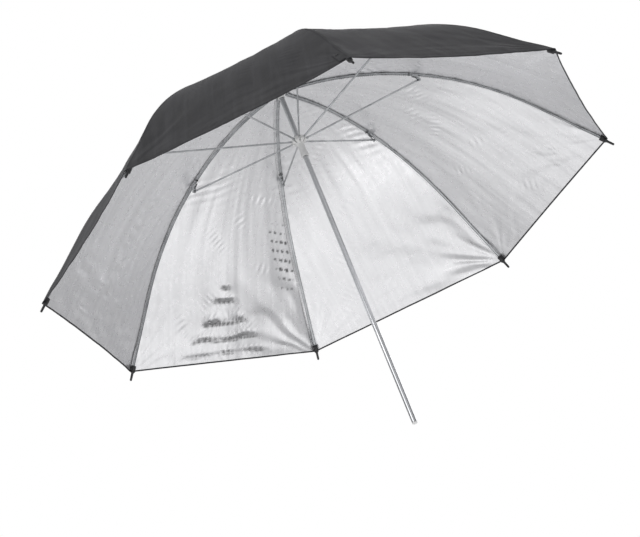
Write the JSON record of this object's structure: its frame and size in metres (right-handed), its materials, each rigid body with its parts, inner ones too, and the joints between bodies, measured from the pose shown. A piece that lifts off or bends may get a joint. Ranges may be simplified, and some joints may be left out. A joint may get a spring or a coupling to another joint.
{
  "type": "umbrella reflector",
  "caption": "Folding studio umbrella reflector with a silver-lined black canopy, steel ribs, stretchers and a sliding runner on a slim tubular shaft.",
  "frame": {"origin": "centre of the flat face at the shaft's free end", "axes": "+Z along the shaft, from its free end to the crown; +X toward the first rib, whose plane is XZ"},
  "size_m": [0.9364, 0.9364, 0.6209],
  "materials": {
    "chrome": "bright plated tube and wire",
    "steel": "nickel plated, rolled channel",
    "white_plastic": "moulded nylon",
    "black_plastic": "moulded, satin",
    "canopy_cloth": "black woven nylon outside, crinkled silver coating inside"
  },
  "bodies": {
    "root": {"shaft_tube": "chrome", "shaft_end_plug": "black_plastic", "stop_pin": "steel", "crown_notch": "white_plastic", "crown_ring": "steel", "top_washer": "black_plastic", "top_cap": "black_plastic"},
    "catch": {"catch_spring": "steel"},
    "runner": {"runner": "white_plastic", "runner_ring": "steel"},
    "rib_1_inner": {"rib_1_inner": "steel", "cover_1_inner": "canopy_cloth"},
    "rib_1_outer": {"rib_1_outer": "steel", "tip_1": "black_plastic", "cover_1_outer": "canopy_cloth"},
    "stretcher_1": {"stretcher_1": "chrome"},
    "rib_2_inner": {"rib_2_inner": "steel", "cover_2_inner": "canopy_cloth"},
    "rib_2_outer": {"rib_2_outer": "steel", "tip_2": "black_plastic", "cover_2_outer": "canopy_cloth"},
    "stretcher_2": {"stretcher_2": "chrome"},
    "rib_3_inner": {"rib_3_inner": "steel", "cover_3_inner": "canopy_cloth"},
    "rib_3_outer": {"rib_3_outer": "steel", "tip_3": "black_plastic", "cover_3_outer": "canopy_cloth"},
    "stretcher_3": {"stretcher_3": "chrome"},
    "rib_4_inner": {"rib_4_inner": "steel", "cover_4_inner": "canopy_cloth"},
    "rib_4_outer": {"rib_4_outer": "steel", "tip_4": "black_plastic", "cover_4_outer": "canopy_cloth"},
    "stretcher_4": {"stretcher_4": "chrome"},
    "rib_5_inner": {"rib_5_inner": "steel", "cover_5_inner": "canopy_cloth"},
    "rib_5_outer": {"rib_5_outer": "steel", "tip_5": "black_plastic", "cover_5_outer": "canopy_cloth"},
    "stretcher_5": {"stretcher_5": "chrome"},
    "rib_6_inner": {"rib_6_inner": "steel", "cover_6_inner": "canopy_cloth"},
    "rib_6_outer": {"rib_6_outer": "steel", "tip_6": "black_plastic", "cover_6_outer": "canopy_cloth"},
    "stretcher_6": {"stretcher_6": "chrome"},
    "rib_7_inner": {"rib_7_inner": "steel", "cover_7_inner": "canopy_cloth"},
    "rib_7_outer": {"rib_7_outer": "steel", "tip_7": "black_plastic", "cover_7_outer": "canopy_cloth", "closing_strap": "canopy_cloth"},
    "stretcher_7": {"stretcher_7": "chrome"},
    "rib_8_inner": {"rib_8_inner": "steel", "cover_8_inner": "canopy_cloth"},
    "rib_8_outer": {"rib_8_outer": "steel", "tip_8": "black_plastic", "cover_8_outer": "canopy_cloth"},
    "stretcher_8": {"stretcher_8": "chrome"}
  },
  "joints": [
    {"name": "rib_1_fold", "type": "hinge", "parent": "root", "child": "rib_1_inner", "pos_m": [0.009, 0, 0.6025], "axis": [0, 1, 0], "range_deg": [0, 76], "deforming": ["cover_1_inner", "cover_1_outer", "cover_2_inner", "cover_2_outer", "cover_3_inner", "cover_3_outer", "cover_4_inner", "cover_4_outer", "cover_5_inner", "cover_5_outer", "cover_6_inner", "cover_6_outer", "cover_7_inner", "cover_7_outer", "cover_8_inner", "cover_8_outer", "closing_strap"]},
    {"name": "rib_1_bend", "type": "hinge", "parent": "rib_1_inner", "child": "rib_1_outer", "pos_m": [0.21921, 0, 0.56551], "axis": [0, 1, 0], "range_deg": [-27, 1]},
    {"name": "stretcher_1_pin", "type": "hinge", "parent": "rib_1_inner", "child": "stretcher_1", "pos_m": [0.2185, 0, 0.55585], "axis": [0, 1, 0], "range_deg": [-153, 1]},
    {"name": "rib_2_fold", "type": "hinge", "parent": "root", "child": "rib_2_inner", "pos_m": [0.00636, 0.00636, 0.6025], "axis": [-0.7071, 0.7071, 0], "range_deg": [-1, 77]},
    {"name": "rib_2_bend", "type": "hinge", "parent": "rib_2_inner", "child": "rib_2_outer", "pos_m": [0.15501, 0.15501, 0.56551], "axis": [-0.7071, 0.7071, 0], "range_deg": [-27, 1]},
    {"name": "stretcher_2_pin", "type": "hinge", "parent": "rib_2_inner", "child": "stretcher_2", "pos_m": [0.1545, 0.1545, 0.55585], "axis": [-0.7071, 0.7071, 0], "range_deg": [-153, 1]},
    {"name": "rib_3_fold", "type": "hinge", "parent": "root", "child": "rib_3_inner", "pos_m": [0, 0.009, 0.6025], "axis": [-1, 0, 0], "range_deg": [-1, 77]},
    {"name": "rib_3_bend", "type": "hinge", "parent": "rib_3_inner", "child": "rib_3_outer", "pos_m": [0, 0.21921, 0.56551], "axis": [-1, 0, 0], "range_deg": [-27, 1]},
    {"name": "stretcher_3_pin", "type": "hinge", "parent": "rib_3_inner", "child": "stretcher_3", "pos_m": [0, 0.2185, 0.55585], "axis": [-1, 0, 0], "range_deg": [-153, 1]},
    {"name": "rib_4_fold", "type": "hinge", "parent": "root", "child": "rib_4_inner", "pos_m": [-0.00636, 0.00636, 0.6025], "axis": [-0.7071, -0.7071, 0], "range_deg": [-1, 77]},
    {"name": "rib_4_bend", "type": "hinge", "parent": "rib_4_inner", "child": "rib_4_outer", "pos_m": [-0.15501, 0.15501, 0.56551], "axis": [-0.7071, -0.7071, 0], "range_deg": [-27, 1]},
    {"name": "stretcher_4_pin", "type": "hinge", "parent": "rib_4_inner", "child": "stretcher_4", "pos_m": [-0.1545, 0.1545, 0.55585], "axis": [-0.7071, -0.7071, 0], "range_deg": [-153, 1]},
    {"name": "rib_5_fold", "type": "hinge", "parent": "root", "child": "rib_5_inner", "pos_m": [-0.009, 0, 0.6025], "axis": [0, -1, 0], "range_deg": [-1, 77]},
    {"name": "rib_5_bend", "type": "hinge", "parent": "rib_5_inner", "child": "rib_5_outer", "pos_m": [-0.21921, 0, 0.56551], "axis": [0, -1, 0], "range_deg": [-27, 1]},
    {"name": "stretcher_5_pin", "type": "hinge", "parent": "rib_5_inner", "child": "stretcher_5", "pos_m": [-0.2185, 0, 0.55585], "axis": [0, -1, 0], "range_deg": [-153, 1]},
    {"name": "rib_6_fold", "type": "hinge", "parent": "root", "child": "rib_6_inner", "pos_m": [-0.00636, -0.00636, 0.6025], "axis": [0.7071, -0.7071, 0], "range_deg": [-1, 77]},
    {"name": "rib_6_bend", "type": "hinge", "parent": "rib_6_inner", "child": "rib_6_outer", "pos_m": [-0.15501, -0.15501, 0.56551], "axis": [0.7071, -0.7071, 0], "range_deg": [-27, 1]},
    {"name": "stretcher_6_pin", "type": "hinge", "parent": "rib_6_inner", "child": "stretcher_6", "pos_m": [-0.1545, -0.1545, 0.55585], "axis": [0.7071, -0.7071, 0], "range_deg": [-153, 1]},
    {"name": "rib_7_fold", "type": "hinge", "parent": "root", "child": "rib_7_inner", "pos_m": [0, -0.009, 0.6025], "axis": [1, 0, 0], "range_deg": [-1, 77]},
    {"name": "rib_7_bend", "type": "hinge", "parent": "rib_7_inner", "child": "rib_7_outer", "pos_m": [0, -0.21921, 0.56551], "axis": [1, 0, 0], "range_deg": [-27, 1]},
    {"name": "stretcher_7_pin", "type": "hinge", "parent": "rib_7_inner", "child": "stretcher_7", "pos_m": [0, -0.2185, 0.55585], "axis": [1, 0, 0], "range_deg": [-153, 1]},
    {"name": "rib_8_fold", "type": "hinge", "parent": "root", "child": "rib_8_inner", "pos_m": [0.00636, -0.00636, 0.6025], "axis": [0.7071, 0.7071, 0], "range_deg": [-1, 77]},
    {"name": "rib_8_bend", "type": "hinge", "parent": "rib_8_inner", "child": "rib_8_outer", "pos_m": [0.15501, -0.15501, 0.56551], "axis": [0.7071, 0.7071, 0], "range_deg": [-27, 1]},
    {"name": "stretcher_8_pin", "type": "hinge", "parent": "rib_8_inner", "child": "stretcher_8", "pos_m": [0.1545, -0.1545, 0.55585], "axis": [0.7071, 0.7071, 0], "range_deg": [-153, 1]},
    {"name": "runner_hinge", "type": "hinge", "parent": "stretcher_1", "child": "runner", "pos_m": [0.009, 0, 0.50921], "axis": [0, 1, 0], "range_deg": [-1, 77]},
    {"name": "catch_press", "type": "slide", "parent": "root", "child": "catch", "axis": [0.3827, -0.9239, 0], "range_m": [0, 0.0019], "stiffness_N_per_m": 300, "springref_m": -0.003}
  ],
  "couplings": [
    {"joint": "rib_1_bend", "follows": "rib_1_fold", "ratio": -0.3272},
    {"joint": "stretcher_1_pin", "follows": "rib_1_fold", "ratio": -2},
    {"joint": "rib_2_fold", "follows": "rib_1_fold", "ratio": 1},
    {"joint": "rib_2_bend", "follows": "rib_1_fold", "ratio": -0.3272},
    {"joint": "stretcher_2_pin", "follows": "rib_1_fold", "ratio": -2},
    {"joint": "rib_3_fold", "follows": "rib_1_fold", "ratio": 1},
    {"joint": "rib_3_bend", "follows": "rib_1_fold", "ratio": -0.3272},
    {"joint": "stretcher_3_pin", "follows": "rib_1_fold", "ratio": -2},
    {"joint": "rib_4_fold", "follows": "rib_1_fold", "ratio": 1},
    {"joint": "rib_4_bend", "follows": "rib_1_fold", "ratio": -0.3272},
    {"joint": "stretcher_4_pin", "follows": "rib_1_fold", "ratio": -2},
    {"joint": "rib_5_fold", "follows": "rib_1_fold", "ratio": 1},
    {"joint": "rib_5_bend", "follows": "rib_1_fold", "ratio": -0.3272},
    {"joint": "stretcher_5_pin", "follows": "rib_1_fold", "ratio": -2},
    {"joint": "rib_6_fold", "follows": "rib_1_fold", "ratio": 1},
    {"joint": "rib_6_bend", "follows": "rib_1_fold", "ratio": -0.3272},
    {"joint": "stretcher_6_pin", "follows": "rib_1_fold", "ratio": -2},
    {"joint": "rib_7_fold", "follows": "rib_1_fold", "ratio": 1},
    {"joint": "rib_7_bend", "follows": "rib_1_fold", "ratio": -0.3272},
    {"joint": "stretcher_7_pin", "follows": "rib_1_fold", "ratio": -2},
    {"joint": "rib_8_fold", "follows": "rib_1_fold", "ratio": 1},
    {"joint": "rib_8_bend", "follows": "rib_1_fold", "ratio": -0.3272},
    {"joint": "stretcher_8_pin", "follows": "rib_1_fold", "ratio": -2},
    {"joint": "runner_hinge", "follows": "rib_1_fold", "ratio": 1}
  ]
}
